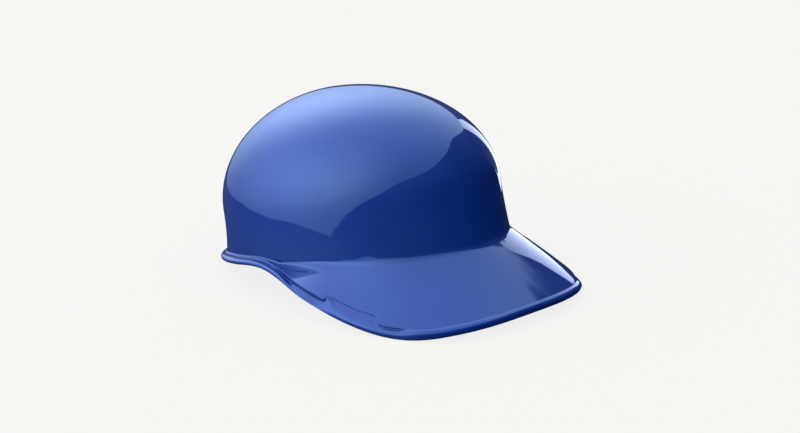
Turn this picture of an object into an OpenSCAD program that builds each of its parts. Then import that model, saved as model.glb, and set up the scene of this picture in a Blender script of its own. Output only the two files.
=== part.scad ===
// Catcher skull cap: one moulded shell with a flared bill and a rolled bead,
// and five liner pads held inside by hook and loop patches.
// The section functions work in the head frame, where z = 0 is the plane of the crease.
// seated() then tips the cap to the way it rests on a table, on its bill corners and its rear edge.

/* [Dome] */
// Half the width of the dome, ear to ear, outside
dome_half_w = 97.5; // [90:0.5:106]
// Length of the dome in front of the ears, outside
dome_front = 130; // [120:0.5:142]
// Length of the dome behind the ears, outside
dome_rear = 99.5; // [90:0.5:108]
// Height of the crown above the crease plane
dome_h = 118.5; // [108:0.5:130]
// Height of the widest level above the crease plane
belt_h = 37; // [30:0.5:45]
// Share by which the wall spreads from the widest level to its foot, at the back
rear_spread_share = 0.05; // [0:0.002:0.06]
// Share by which the wall spreads from the widest level to the crease, at the front
front_spread_share = 0.012; // [0:0.002:0.04]
// Share by which the wall tucks in from the widest level to its foot, at the ears
ear_tuck_share = 0.018; // [0:0.002:0.03]
// Thickness of the moulding
wall = 3; // [2.5:0.1:3.6]

/* [Bill] */
// Reach of the bead's centre in front of the ears
bill_reach = 170.5; // [160:0.5:180]
// Squareness of the bill's plan, 0 is an ellipse and 1 a rectangle
bill_square_share = 0.34; // [0.24:0.01:0.44]
// How much wider than the ear line the bill is, each side
bill_flare = 9.4; // [6:0.2:12]
// Depth of the bill's edge below the rear edge
bill_drop = 55.5; // [45:0.5:62]
// How far the crease sinks at the middle of the forehead
crease_dip = 5.6; // [2:0.2:8]
// Length of the soft fillet on each side of the crease
crease_fillet = 3; // [2:0.5:6]

/* [Rolled bead] */
// Height of the rear bead's centre above the crease plane
bead_lift = 4; // [3:0.2:6]
// How far the bead's centre stands out from the wall's foot, at the back
bead_out = 0.8; // [0.4:0.1:3.4]
// How far the bead's centre stands out from the wall's foot, at the ears
ear_bead_out = 6.2; // [4:0.1:8]
// Half of the bead's height at the bill's edge, square to the bill
bead_half_h = 3.9; // [3.2:0.1:4.4]
// Half of the bead's height behind the ears
rear_bead_half_h = 2.8; // [2.4:0.1:3.4]
// Half of the bead's width, along the bill
bead_half_w = 2.8; // [2.2:0.1:3.2]
// Depth of the step between the bill and the bead's flange
step_depth = 2; // [1:0.1:2.4]
// Width of the flange from the step to the bead's centre
step_width = 4.4; // [3.6:0.2:7]
// Share of the step that is left at the middle of the bill
step_front_share = 0.3; // [0.1:0.1:0.6]
// Depth of the step behind the ears
rear_step_depth = 0.4; // [0.2:0.1:0.8]

/* [Liner pads] */
// Thickness of the firm core
core_t = 4; // [3:0.2:5]
// Thickness of the comfort foam at its edge
comfort_t = 2; // [1.6:0.2:3]
// Extra thickness of the comfort foam at the middle of each pad
crown_t = 2.4; // [1:0.2:3.4]
// Thickness of the cover's fabric
cover_t = 0.9; // [0.7:0.1:1.2]
// Thickness of the backing sheet
backing_t = 0.8; // [0.6:0.1:1.2]
// Thickness of the hook patches and of the loop patches
patch_t = 1.2; // [0.8:0.1:1.6]
// Depth of the sewn channels in the foam and the cover
channel_depth = 1.6; // [0.6:0.1:1.8]
// How far the channels draw the pads' edges in
channel_pull = 1.2; // [0.4:0.1:2]
// Rounding of the corners of the front, rear and side pads, 0 is square and 1 an ellipse
band_round_share = 0.45; // [0.2:0.05:0.8]
// Rounding of the crown pad's corners, 0 is square and 1 an ellipse
crown_round_share = 0.7; // [0.4:0.05:0.9]
// Height of the front, rear and side pads' middles above the widest level
band_height = 6; // [2:1:8]
// Half the height of the front, rear and side pads
band_half_h = 27; // [20:0.5:28]
// Half the length of the front pad
front_half_l = 84; // [60:1:86]
// Half the length of the rear pad
rear_half_l = 56; // [40:1:60]
// Half the length of each side pad
side_half_l = 48; // [30:1:50]
// How far back the side pads sit from the ears, in degrees
side_turn = 4; // [0:0.5:6]
// Half the length of the crown pad, front to back
crown_half_l = 58; // [40:1:60]
// Half the width of the crown pad
crown_half_w = 46; // [30:1:48]
// How far the crown pad's middle lies in front of the ears
crown_forward = 12; // [0:1:20]

/* [Fits] */
// Clearance between pieces that lie on each other
seat_gap = 0.3; // [0.2:0.05:0.5]

/* [Hidden] */
// Places of the pads' middles, in degrees counter-clockwise from the wearer's left ear
front_turn = -90;
rear_turn = 90;
right_turn = 180 - side_turn;
// Each pad's name, its place round the cap, or the crown, and its half length, half height and rounding
PADS = [
    ["front", front_turn, front_half_l, band_half_h, band_round_share],
    ["rear", rear_turn, rear_half_l, band_half_h, band_round_share],
    ["left", side_turn, side_half_l, band_half_h, band_round_share],
    ["right", right_turn, side_half_l, band_half_h, band_round_share],
    ["crown", "crown", crown_half_l, crown_half_w, crown_round_share],
];
PIECES = ["hook_patch", "loop_patch", "pad_backing", "pad_core", "pad_comfort", "pad_cover"];

// Columns round the shell and rows down each part of its section
columns = 96;
crown_rows = 12;
lining_rows = 12;
foot_rows = 2;
bead_points = 7;

// Lines of a pad's grid along and across it, from edge to edge, and where the channels lie
along = [-1, -0.87, -0.62, -0.43, -1/3, -0.24, 0, 0.24, 1/3, 0.43, 0.62, 0.87, 1];
across = [-1, -0.75, -0.4, 0, 0.4, 0.75, 1];
channel_share = 1/3;
// Rows of its pad's grid that a patch leaves free at each end and at each side
patch_end_rows = 2;
patch_side_rows = 1;
// Depths of the pads' layers below the outside of the shell, each from its face towards the shell
hook_depth = wall + seat_gap;
loop_depth = hook_depth + patch_t + seat_gap;
backing_depth = loop_depth + patch_t + seat_gap;
core_depth = backing_depth + backing_t + seat_gap;
comfort_depth = core_depth + core_t + seat_gap;
// Depth of the comfort foam's far face where the crown and the channels leave it flat
comfort_face = comfort_depth + comfort_t;
// How far the foams stay inside the outline of the cover
foam_inset = cover_t + seat_gap;

// Height of the wall's foot over the bead's crest, behind the ears
foot_rise = 0.6;
// Gap between the bead's roll and where the flange starts to run flat
bead_neck = 0.6;
// Shares of the bill's run that the crease's fillets outside and inside and the flange may take
fillet_share = 0.3;
under_fillet_share = 0.2;
flange_share = 0.6;
// Where the wall stops tucking in behind and in front of the ears, and over how much it does, in
// sines of the angle
rear_tuck_share = 0.3;
rear_tuck_blend_share = 0.5;
front_tuck_share = 0.55;
front_tuck_blend_share = 0.35;
// Width, in sines of the angle, over which the front's curve takes over from the rear's at the ears
ear_blend_share = 0.7;
// Height over which the wall's upright part turns into the dome, above and below the widest level
belt_blend = 8;
// Share of the way from the roll back to the step that lies flat, and share of the flange that the
// step's slope takes
flange_flat_share = 0.4;
step_slope_share = 0.9;
// Share of the bill's run by which the step's underside may lie further back than its face
back_shift_share = 0.1;
// Where the bill starts to drop and where it has dropped, as y
drop_start = 13;
drop_end = -151.5;
// Over how much length the bill reaches its full width
flare_run = 60;
// Where the step starts behind the bill, how fast it deepens, and where it fades towards the front
step_start = 2;
step_run = 26;
step_fade_start = 125;
step_fade_run = 38;

function clamp01(v) = min(max(v, 0), 1);
function smooth(v) = let (t = clamp01(v)) t * t * (3 - 2 * t);
// A ramp that starts at 0, with its corner eased over this much each way
function ease(v, soft) = v <= -soft ? 0 : v >= soft ? v : pow(v + soft, 2) / (4 * soft);
function unit(v) = v / norm(v);
function mix(a, b, share) = a + (b - a) * share;

// Share by which the wall's foot spreads at angle phi, and tucks in near the ears
function spread_at(phi) =
    let (
        spread = sin(phi) > 0 ? rear_spread_share : front_spread_share,
        start = sin(phi) > 0 ? rear_tuck_share : front_tuck_share,
        blend = sin(phi) > 0 ? rear_tuck_blend_share : front_tuck_blend_share
    )
    mix(-ear_tuck_share, spread, smooth((abs(sin(phi)) - start) / blend));

// Centre of the bead at turn t, counter-clockwise from the wearer's left ear
function bead_centre(t) =
    let (
        rear = sin(t) >= 0,
        square = rear ? 2 : 2 / (1 - bill_square_share),
        shrink = pow(pow(abs(cos(t)), square) + pow(abs(sin(t)), square), 1 / square),
        foot_w = dome_half_w * (1 + spread_at(0)) + ear_bead_out,
        foot_l = dome_rear * (1 + spread_at(90)) + bead_out,
        y = sin(t) / shrink * (rear ? foot_l : bill_reach),
        x = cos(t) / shrink * (foot_w + bill_flare * smooth(-y / flare_run)),
        z = bead_lift - bill_drop * smooth((drop_start - y) / (drop_start - drop_end))
    )
    [x, y, z];

// Radius of the dome in the upright plane at angle phi, at height z, inset from the outside
function dome_r(phi, z, inset = 0) =
    let (
        a = dome_half_w - inset,
        b = mix(dome_rear, dome_front, smooth(0.5 - sin(phi) / ear_blend_share)) - inset,
        rise = clamp01(ease(z - belt_h, belt_blend) / (dome_h - inset - belt_h)),
        sink = ease(belt_h - z, belt_blend) / belt_h
    )
    sqrt(1 - rise * rise) * (1 + spread_at(phi) * sink * sink)
        / sqrt(pow(cos(phi) / a, 2) + pow(sin(phi) / b, 2));

// Height on the dome at latitude lat, which is 0 at the widest level and 90 at the crown
function dome_z(lat, inset = 0) =
    belt_h + (dome_h - inset - belt_h) * (lat < 0 ? lat * PI / 180 : sin(lat));

// Depth of the step at the place of the bead with this y
function step_at(y) =
    mix(rear_step_depth, step_depth, smooth((step_start - y) / step_run))
        * (1 - (1 - step_front_share) * smooth((-y - step_fade_start) / step_fade_run));

// Half of the bead's height at the place of the bead with this y
function bead_half_h_at(y) = mix(rear_bead_half_h, bead_half_h, smooth(-y / flare_run));

// Points on a soft corner at p between the ways in and out, as [r, z]
function soft_corner(from, p, to, count) =
    [for (i = [0 : count - 1]) let (s = i / (count - 1))
        from * pow(1 - s, 2) + p * 2 * s * (1 - s) + to * s * s];

// Section of the moulding at turn t, from below the crown round the bead to below the lining's
// crown, as [r, z] in the upright plane of that place of the bead
function shell_section(t) =
    let (
        centre = bead_centre(t),
        phi = atan2(centre.y, centre.x),
        bead = [norm([centre.x, centre.y]), centre.z],
        step = step_at(centre.y),
        half_h = bead_half_h_at(centre.y),
        // Foot of the wall: the crease, or the top of the bead where there is no bill
        dip = crease_dip * pow(max(-sin(phi), 0), 2),
        foot_z = max(-dip, bead.y + half_h + foot_rise),
        foot = [dome_r(phi, foot_z), foot_z],
        // Way down the bill and out of its face, which passes the bead's centre by half a wall and the step
        rise = wall / 2 + step,
        reach = norm(bead - foot),
        run = sqrt(reach * reach - rise * rise),
        way = (run * (bead - foot) + rise * [foot.y - bead.y, bead.x - foot.x]) / (reach * reach),
        out = [-way.y, way.x],
        soft = min(crease_fillet, run * fillet_share),
        // The bead rolls from the flange's face over its crest and round to the underside
        bead_start = -acos(wall / 2 / half_h),
        roll = [for (i = [0 : bead_points - 1])
            let (b = mix(bead_start, 180 - bead_start, i / (bead_points - 1)))
            bead + bead_half_w * sin(b) * way + half_h * cos(b) * out],
        // How far behind the bead's centre the panel ends and the flange starts
        panel_end = min(step_width, run * flange_share),
        roll_end = -bead_half_w * sin(bead_start),
        flange_end = min(bead_half_w + bead_neck, mix(roll_end, panel_end, flange_flat_share)),
        slope_end = mix(panel_end, flange_end, step_slope_share),
        // The step's underside lies further back, so that the moulding stays one wall thick there
        slope_angle = atan2(step, panel_end - slope_end),
        back_shift = min(wall * tan(slope_angle / 2), run * back_shift_share),
        // Outer face, from the widest level to the flange
        outer_soft = soft_corner([dome_r(phi, foot_z + soft), foot_z + soft], foot, foot + soft * way, 4),
        step_top = bead + rise * out - panel_end * way,
        bill_mid = mix(foot + soft * way, step_top, 0.5),
        step_foot = bead + wall / 2 * out - slope_end * way,
        flange_face = bead + wall / 2 * out - flange_end * way,
        flange_back = bead - wall / 2 * out - (slope_end + back_shift) * way,
        step_back = step_top - wall * out - back_shift * way,
        // Inner foot of the wall, one wall inside the outer faces
        foot_back = foot - wall * (1 - out.x) / way.x * way - wall * out,
        under_soft = min(crease_fillet, run * under_fillet_share),
        inner_soft = soft_corner(foot_back + under_soft * way, foot_back,
            [dome_r(phi, foot_back.y + soft, wall), foot_back.y + soft], 3),
        under_mid = mix(step_back, foot_back + under_soft * way, 0.5)
    )
    concat(
        [for (i = [1 : crown_rows]) let (z = dome_z(90 - 90 * i / crown_rows)) [dome_r(phi, z), z]],
        [for (i = [1 : foot_rows]) let (z = mix(belt_h, foot_z + soft, i / (foot_rows + 1))) [dome_r(phi, z), z]],
        outer_soft, [bill_mid, step_top, step_foot, flange_face],
        roll, [flange_back, step_back, under_mid],
        inner_soft,
        [for (i = [foot_rows : -1 : 1])
            let (z = mix(belt_h, foot_back.y + soft, i / (foot_rows + 1))) [dome_r(phi, z, wall), z]],
        [for (i = [lining_rows : -1 : 1])
            let (z = dome_z(90 - 90 * i / lining_rows, wall)) [dome_r(phi, z, wall), z]]
    );

// Points of the moulding, column by column, then the two crown points
section_list = [for (i = [0 : columns - 1]) shell_section(360 * i / columns)];
rows = len(section_list[0]);
shell_points = concat(
    [for (i = [0 : columns - 1])
        let (centre = bead_centre(360 * i / columns), plan = unit([centre.x, centre.y]))
        for (p = section_list[i]) [p.x * plan.x, p.x * plan.y, p.y]],
    [[0, 0, dome_h], [0, 0, dome_h - wall]]
);
outer_pole = columns * rows;
lining_pole = outer_pole + 1;
shell_faces = [
    for (i = [0 : columns - 1])
        let (a = i * rows, b = (i + 1) % columns * rows)
        each concat(
            [[outer_pole, b, a], [lining_pole, a + rows - 1, b + rows - 1]],
            [for (k = [0 : rows - 2]) each [[a + k, b + k, b + k + 1], [a + k, b + k + 1, a + k + 1]]]
        )
];

// The cap rests on its rear edge and its bill corners: the tip angle joins their bead centres
bead_ring = [for (i = [0 : columns - 1]) bead_centre(360 * i / columns)];
rear_centre = bead_centre(90);
tip = max([for (p = bead_ring) if (p.y < 0) atan2(rear_centre.z - p.z, rear_centre.y - p.y)]);
function tipped(p) = [p.x, p.y * cos(tip) + p.z * sin(tip), p.z * cos(tip) - p.y * sin(tip)];
tipped_y = [for (p = shell_points) tipped(p).y];
tipped_z = [for (p = shell_points) tipped(p).z];

module seated() {
    translate([0, -(max(tipped_y) + min(tipped_y)) / 2, -min(tipped_z)])
        rotate([-tip, 0, 0])
            children();
}

// Triangles of a grid of lines, seen the right way round from its outer side
function grid_faces(nx, ny, first, turned = false) = [
    for (i = [0 : nx - 2]) for (j = [0 : ny - 2])
        let (a = first + i * ny + j, b = a + ny)
        each turned ? [[a, b, b + 1], [a, b + 1, a + 1]] : [[a, b + 1, b], [a, a + 1, b + 1]]
];

// Numbers of a grid's edge points, once round
function grid_edge(nx, ny, first) = [
    for (i = [0 : nx - 2]) first + i * ny,
    for (j = [0 : ny - 2]) first + (nx - 1) * ny + j,
    for (i = [nx - 1 : -1 : 1]) first + i * ny + ny - 1,
    for (j = [ny - 1 : -1 : 1]) first + j
];

// Triangles between two loops of points with the same count
function loop_faces(upper, lower) = [
    for (k = [0 : len(upper) - 1])
        let (n = (k + 1) % len(upper))
        each [[upper[k], upper[n], lower[n]], [upper[k], lower[n], lower[k]]]
];

// Place in the cap of the point x along and y across a pad, at this depth below the outside
function pad_point(pad, x, y, depth) = pad[1] == "crown"
    ? let (
        back = x - crown_forward,
        share = norm([back, y]) / dome_r(atan2(back, -y), belt_h, depth)
    )
    [-y, back, belt_h + (dome_h - depth - belt_h) * sqrt(1 - share * share)]
    : let (
        phi = pad[1] + x / dome_r(pad[1], belt_h, wall) * 180 / PI,
        z = dome_z((band_height + y) / (dome_h - wall - belt_h) * 180 / PI, depth),
        r = dome_r(phi, z, depth)
    )
    [r * cos(phi), r * sin(phi), z];

// Where the pad's outline, drawn in at corners and channels and inset by inset, puts grid point u, v
function pad_xy(pad, u, v, inset) =
    let (
        pull = abs(abs(u) - channel_share) < 0.01 ? channel_pull : 0,
        half_l = (pad[2] - inset) * sqrt(1 - pad[4] * v * v / 2),
        half_h = (pad[3] - inset) * sqrt(1 - pad[4] * u * u / 2) - pull
    )
    [u * half_l, v * half_h];

// Height of the crowned cushion over its edge at grid point u, v, with the channels sewn down
function cushion(u, v) =
    crown_t * (1 - pow(u, 4)) * (1 - pow(v, 4))
        - (abs(abs(u) - channel_share) < 0.01 ? channel_depth * (1 - pow(v, 4)) : 0);

// Grid points of one face of a pad's layer, crowned by share of the cushion's height
function pad_face(pad, us, vs, depth, inset, share) = [
    for (u = us) for (v = vs)
        let (p = pad_xy(pad, u, v, inset))
        pad_point(pad, p.x, p.y, depth + share * cushion(u, v))
];

// A closed layer between two faces of a pad
module pad_layer(pad, us, vs, depth, thickness, inset, share) {
    nx = len(us);
    ny = len(vs);
    far = nx * ny;
    polyhedron(
        concat(
            pad_face(pad, us, vs, depth, inset, 0),
            pad_face(pad, us, vs, depth + thickness, inset, share)
        ),
        concat(
            grid_faces(nx, ny, 0),
            grid_faces(nx, ny, far, true),
            loop_faces(grid_edge(nx, ny, 0), grid_edge(nx, ny, far))
        )
    );
}

// A patch covers the middle lines of its pad's grid
module patch(pad, depth) {
    us = [for (i = [patch_end_rows : len(along) - 1 - patch_end_rows]) along[i]];
    vs = [for (j = [patch_side_rows : len(across) - 1 - patch_side_rows]) across[j]];
    pad_layer(pad, us, vs, depth, patch_t, 0, 0);
}

module hook_patch(pad) {
    color("black") patch(pad, hook_depth);
}

module loop_patch(pad) {
    color("dimgray") patch(pad, loop_depth);
}

module pad_backing(pad) {
    color("darkslategray") pad_layer(pad, along, across, backing_depth, backing_t, 0, 0);
}

module pad_core(pad) {
    color("gray") pad_layer(pad, along, across, core_depth, core_t, foam_inset, 0);
}

module pad_comfort(pad) {
    color("lightgray") pad_layer(pad, along, across, comfort_depth, comfort_t, foam_inset, 1);
}

// The cover is an open dish of fabric: its rim is sewn to the edge of the backing
module pad_cover(pad) {
    nx = len(along);
    ny = len(across);
    count = nx * ny;
    loop_count = 2 * (nx + ny) - 4;
    flat = pad_face(pad, along, across, core_depth, 0, 0);
    flat_inner = pad_face(pad, along, across, core_depth, cover_t, 0);
    inner_rim = [for (k = [0 : loop_count - 1]) 2 * count + k];
    outer_rim = [for (k = [0 : loop_count - 1]) 2 * count + loop_count + k];
    color("darkblue") polyhedron(
        concat(
            pad_face(pad, along, across, comfort_face + seat_gap, cover_t, 1),
            pad_face(pad, along, across, comfort_face + seat_gap + cover_t, 0, 1),
            [for (k = grid_edge(nx, ny, 0)) flat_inner[k]],
            [for (k = grid_edge(nx, ny, 0)) flat[k]]
        ),
        concat(
            grid_faces(nx, ny, 0),
            grid_faces(nx, ny, count, true),
            loop_faces(grid_edge(nx, ny, 0), inner_rim),
            loop_faces(inner_rim, outer_rim),
            loop_faces(outer_rim, grid_edge(nx, ny, count))
        )
    );
}

module shell() {
    color("royalblue") seated() polyhedron(shell_points, shell_faces);
}

shell();
for (pad = PADS) {
    seated() hook_patch(pad);
    seated() loop_patch(pad);
    seated() pad_backing(pad);
    seated() pad_core(pad);
    seated() pad_comfort(pad);
    seated() pad_cover(pad);
}
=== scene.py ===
import math
from collections import namedtuple
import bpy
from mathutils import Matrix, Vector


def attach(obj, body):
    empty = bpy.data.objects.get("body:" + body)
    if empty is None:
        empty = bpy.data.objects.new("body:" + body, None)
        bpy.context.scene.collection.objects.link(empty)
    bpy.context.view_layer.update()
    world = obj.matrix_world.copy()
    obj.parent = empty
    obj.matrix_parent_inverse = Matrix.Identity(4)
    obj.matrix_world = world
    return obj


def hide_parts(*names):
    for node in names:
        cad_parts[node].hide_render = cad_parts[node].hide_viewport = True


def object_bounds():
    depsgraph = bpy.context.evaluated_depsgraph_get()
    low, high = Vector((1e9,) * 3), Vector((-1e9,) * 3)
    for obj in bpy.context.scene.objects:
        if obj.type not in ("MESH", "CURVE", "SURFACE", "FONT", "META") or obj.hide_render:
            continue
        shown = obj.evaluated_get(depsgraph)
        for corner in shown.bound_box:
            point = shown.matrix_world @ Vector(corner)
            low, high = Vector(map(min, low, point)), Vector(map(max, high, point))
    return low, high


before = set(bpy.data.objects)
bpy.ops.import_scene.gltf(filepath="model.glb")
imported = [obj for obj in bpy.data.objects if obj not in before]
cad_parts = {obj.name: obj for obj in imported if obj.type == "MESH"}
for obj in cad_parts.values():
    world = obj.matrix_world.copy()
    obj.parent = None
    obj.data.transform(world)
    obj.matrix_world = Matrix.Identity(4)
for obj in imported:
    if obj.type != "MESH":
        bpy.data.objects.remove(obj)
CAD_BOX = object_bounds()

from types import SimpleNamespace

import bmesh
import bpy
import numpy as np
from bpy.props import FloatProperty, FloatVectorProperty, PointerProperty
from mathutils import Matrix, Vector

bl_info = {
    "name": "Catcher skull cap",
    "version": (1, 0, 0),
    "blender": (4, 5, 0),
    "location": "View3D > Sidebar > Skull cap",
    "description": "Moulded cap with a flared bill, a rolled bead and a padded liner",
    "category": "Add Mesh",
}

# Smooth changes along the moulding, as where each starts and how long it is in metres. In front of the ears:
SIDE_STARTS, SIDE_TOP = (0.005, 0.015), (0.020, 0.025)
BEVEL_STARTS, BEVEL_ENDS = (0.030, 0.020), (0.075, 0.040)
STEP_DEEPENS, STEP_FADES = (0.038, 0.035), (0.125, 0.038)
SIDE_FOOT_ENDS, HOLLOW_ENDS = (0.055, 0.035), (0.070, 0.040)
BILL_TOP, FRONT_EDGE = (0.062, 0.022), (0.150, 0.022)
# Along the bead from the wearer's right ear, and the last one on from the left ear
FINE_STARTS, FINE_ENDS = (0.070, 0.006), (0.132, 0.006)
PLATE_STARTS, SLOPE_NARROWS = (0.082, 0.010), (0.088, 0.010)
LINE_STARTS, LINE_ENDS, FRONT_TOP = (0.131, 0.002), (0.140, 0.016), (0.142, 0.016)
FAR_STEP_STARTS = (-0.185, 0.025)
# How far behind and in front of the ears the wall's tuck ends, as sines of the turn
REAR_TUCK_ENDS, FRONT_TUCK_ENDS = (0.3, 0.5), (0.55, 0.35)
# Straight borders on the bill near the plate, as one point and the slope
STEP_STOP, PLATE_TOP, PLATE_FRONT = (0.001, 0.078, 1.2), (0.0905, 0.0105, 0.01), (0.002, 0.1306, -0.236)
# Widths of columns round the moulding, away from the plate and along it
COLUMN_WIDTHS = (0.0029, 0.00042)
# Width of the band of the bill that has close rows, and the flat between the bead and the step
BAND, FLAT = 0.020, 0.0006
# Most of the bill's run that the step, a fillet, its hollow, its inner side and the bead's inner edge may take
STEP_SHARE, FILLET_SHARE, HOLLOW_SHARE, UNDER_SHARE, NECK_SHARE = 0.7, 0.3, 0.45, 0.2, 0.5
# Widths over which the step falls at its foot and at its end, and over which the plate's top edge falls
STEP_FALL, STOP_FALL, PLATE_FALL = 0.0011, 0.0016, 0.0005
# The line after the plate, and the width of the bill's slope to the bead before and along the plate
LINE_FALLS, SLOPE_WIDTHS = (0.0028, 0.0007), (0.0085, 0.0050)
# Shares of the bead's half height at its widest and under it, where it is round and where it is bevelled
WIDEST_SHARES, UNDER_SHARES = (0.3, 0.77), (0.8, 0.93)
# The bead's shoulder in from its centre, round and bevelled, the bevel's height there and the keel's half width
SHOULDERS, BEVEL_HEIGHT, KEEL_SHARE = (0.0014, 0.0009), -0.0005, 0.45
# Angles over the belt of the rows of the dome and of its lining
DOME_LATS, LINING_LATS = np.radians(np.linspace(88.2, 0, 36)), np.radians(np.linspace(0, 87, 24))
# Width of a sewn channel as a share of a pad's half length, where it is sunk and where it draws the edge in
CHANNEL_WIDTH, PULL_WIDTH = 0.034, 0.03
# Parts of a pad that its tapes cover, along and across
TAPE_SHARES = (0.62, 0.75)
# Radius of a cover's edge, the hollow of its sides, and the seam's distance from the edge
EDGE_ROLL, SIDE_HOLLOW, SEAM_INSET = 0.0028, 0.0004, 0.0045
# Height and pitch of a cover's puckers, and how far from the edge they die out
PUCKER, PUCKER_PITCH, PUCKER_REACH = 0.00016, 0.0036, 0.005
# How much closer a pad's lines are at its edges, and the lines at a channel
EDGE_CLOSENESS, CHANNEL_LINES = 0.35, np.linspace(-0.05, 0.05, 9)
STITCH_SEED = 4

# Lower edge of the softbox as seen from the cap: azimuth from the front towards the left ear, and elevation
SOFTBOX_EDGE = [(-180, -9.5), (-165, -9.5), (-157, -9.1), (-145, -11.5), (-137, -13), (-127, -14.5),
                (-114, -13.6), (-101, -13.3), (-92, -12.9), (-88, -10.3), (-84, -7.9), (-78, -4.5), (-73, -1.6),
                (-68, 2.5), (-58, 11.8), (-37, 30.9), (-4, 42), (38, 49), (60, 48.5), (76, 45.5), (81, 43.3),
                (84, 41.7), (87, 39.2), (92, 34.8), (96, 30.8), (105, 22), (116, 15), (139, 2), (160, -9),
                (180, -9.5)]
# Half the angle over which its edge softens, in radians
EDGE_SOFTNESS = 0.002
# Light of the softbox and of the room: an even part, then soft spots as azimuth, elevation, sharpness, strength
SOFTBOX_LIGHT = (-1.15, [(-104.8, 22.2, 3.9, 5.26), (-98.5, 96.4, 0.85, 3.73), (162.9, 38.1, 11.1, 1.79)])
ROOM_LIGHT = (-0.141, [(-101.0, -49.3, 6.78, 2.01), (-92.1, 57.7, 1.3, 1.29)])
LEAST_LIGHT = 0.02
# The room is darker below: heights on the unit sphere between which it dims, and what is left
ROOM_DIMS = (-0.62, -0.45, 0.25)
# The light's tone goes from the first colour to the second along this direction
TONE_WAY, TONES = (0.676, 0.679, -0.286), ((1.0, 1.10, 1.05), (1.0, 1.37, 2.0))
# Upright panels that show as a bright band and narrow it on the dome: name, x, outline in y and z, tone, strength
PANELS = (
    ("strip_light", 0.402,
     [(-0.050, 0.262), (-0.042, 0.235), (-0.017, 0.180), (-0.009, 0.147), (-0.012, 0.110), (-0.015, 0.095),
      (0.000, 0.070), (0.025, 0.040), (0.075, 0.000), (0.115, -0.020), (0.200, -0.020), (0.170, 0.060),
      (0.150, 0.150), (0.150, 0.190), (0.126, 0.244), (0.077, 0.270), (0.020, 0.280)], (0.62, 0.73, 1.0), 3.5),
    ("strip_flag", 0.160,
     [(-0.068, 0.108), (-0.030, 0.066), (-0.014, 0.062), (-0.014, 0.180), (-0.068, 0.180)], (0.5, 0.65, 1.0), 0.2),
)


# Sizes and colours that a user would change

def length(name, description, default):
    return FloatProperty(name=name, description=description, default=default, unit="LENGTH", precision=5)


def share(name, description, default):
    return FloatProperty(name=name, description=description, default=default, min=0, max=1)


def angle(name, description, degrees):
    return FloatProperty(name=name, description=description, default=math.radians(degrees), subtype="ANGLE")


def colour(name, description, default):
    return FloatVectorProperty(name=name, description=description, default=default, subtype="COLOR",
                               size=3, min=0, max=1)


class CapMouldingSizes(bpy.types.PropertyGroup):
    dome_half_w: length("Dome half width", "Half the width of the dome, ear to ear", 0.0975)
    dome_front: length("Dome front", "Length of the dome in front of the ears", 0.130)
    dome_rear: length("Dome rear", "Length of the dome behind the ears", 0.0995)
    dome_h: length("Dome height", "Height of the crown above the crease plane", 0.1185)
    belt_h: length("Belt height", "Height of the widest level above the crease plane", 0.037)
    belt_blend: length("Belt blend", "Height over which the wall turns into the dome", 0.008)
    rear_spread: share("Rear spread", "Share by which the wall spreads to its foot at the back", 0.05)
    front_spread: share("Front spread", "Share by which the wall spreads to the crease at the front", 0.012)
    ear_tuck: share("Ear tuck", "Share by which the wall tucks in to its foot at the ears", 0.018)
    ear_blend: share("Ear blend", "Width of the blend from the rear's curve to the front's", 0.7)
    wall: length("Wall", "Thickness of the moulding", 0.003)
    bill_reach: length("Bill reach", "Reach of the bead's centre in front of the ears", 0.1705)
    bill_square: share("Bill squareness", "0 is an ellipse and 1 a rectangle", 0.34)
    bill_flare: length("Bill flare", "How much wider than the ear line the bill is", 0.0094)
    bill_drop: length("Bill drop", "Depth of the bill's edge below the rear edge", 0.0555)
    drop_start: length("Drop start", "Where the bill starts to drop", 0.013)
    drop_end: length("Drop end", "Where the bill has dropped", -0.1515)
    flare_run: length("Flare run", "Length over which the bill reaches its full width", 0.060)
    crease_dip: length("Crease dip", "How far the crease sinks at the forehead", 0.0056)
    crease_fillet: length("Crease fillet", "Length of the fillet on each side of the crease at the forehead", 0.003)
    side_crease_fillet: length("Side crease fillet", "The same at the ears", 0.0014)
    side_hollow: length("Side hollow", "How much longer the fillet is on the bill's sides", 0.006)
    bead_lift: length("Bead lift", "Height of the rear bead above the crease plane", 0.004)
    bead_out: length("Bead out", "How far the bead stands out from the wall's foot at the back", 0.0008)
    ear_bead_out: length("Bead out at the ears", "How far the bead stands out from the wall's foot there", 0.0062)
    bead_half_h: length("Bead half height", "Half of the bead's height at the bill's edge", 0.0039)
    rear_bead_half_h: length("Rear bead half height", "Half of the bead's height behind the ears", 0.0028)
    bead_half_w: length("Bead half width", "Half of the bead's width", 0.0028)
    bead_top: length("Bead top", "Height of the step's foot over the bead's centre along the bill", 0.0015)
    side_bead_top: length("Side bead top", "The same in front of the ears, where the step is deep", -0.0018)
    rear_bead_top: length("Rear bead top", "The same behind the ears", -0.0003)
    bead_crest: length("Bead crest", "How high the bead's round swells over the bill at the front", 0.0015)
    rear_bead_crest: length("Rear bead crest", "The same behind the ears", 0.0022)
    foot_rise: length("Foot rise", "Height of the wall's foot over the bill's outer face", 0.0003)
    step_depth: length("Step depth", "Depth of the step between the bill and the bead", 0.002)
    rear_step_depth: length("Rear step depth", "Depth of the step behind the ears", 0.0004)
    side_step_depth: length("Side step depth", "Depth of the step where the bill starts", -0.0005)
    side_foot_rise: length("Side foot rise", "How much higher the wall's foot is where the bill starts", 0.0009)
    step_width: length("Step width", "Width from the step to the bead's centre", 0.0044)
    step_front_share: share("Front step share", "Share of the step left at the front", 0.3)
    plate_depth: length("Plate depth", "Depth of the bare recessed plate near the bill's edge", 0.0018)


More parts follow.
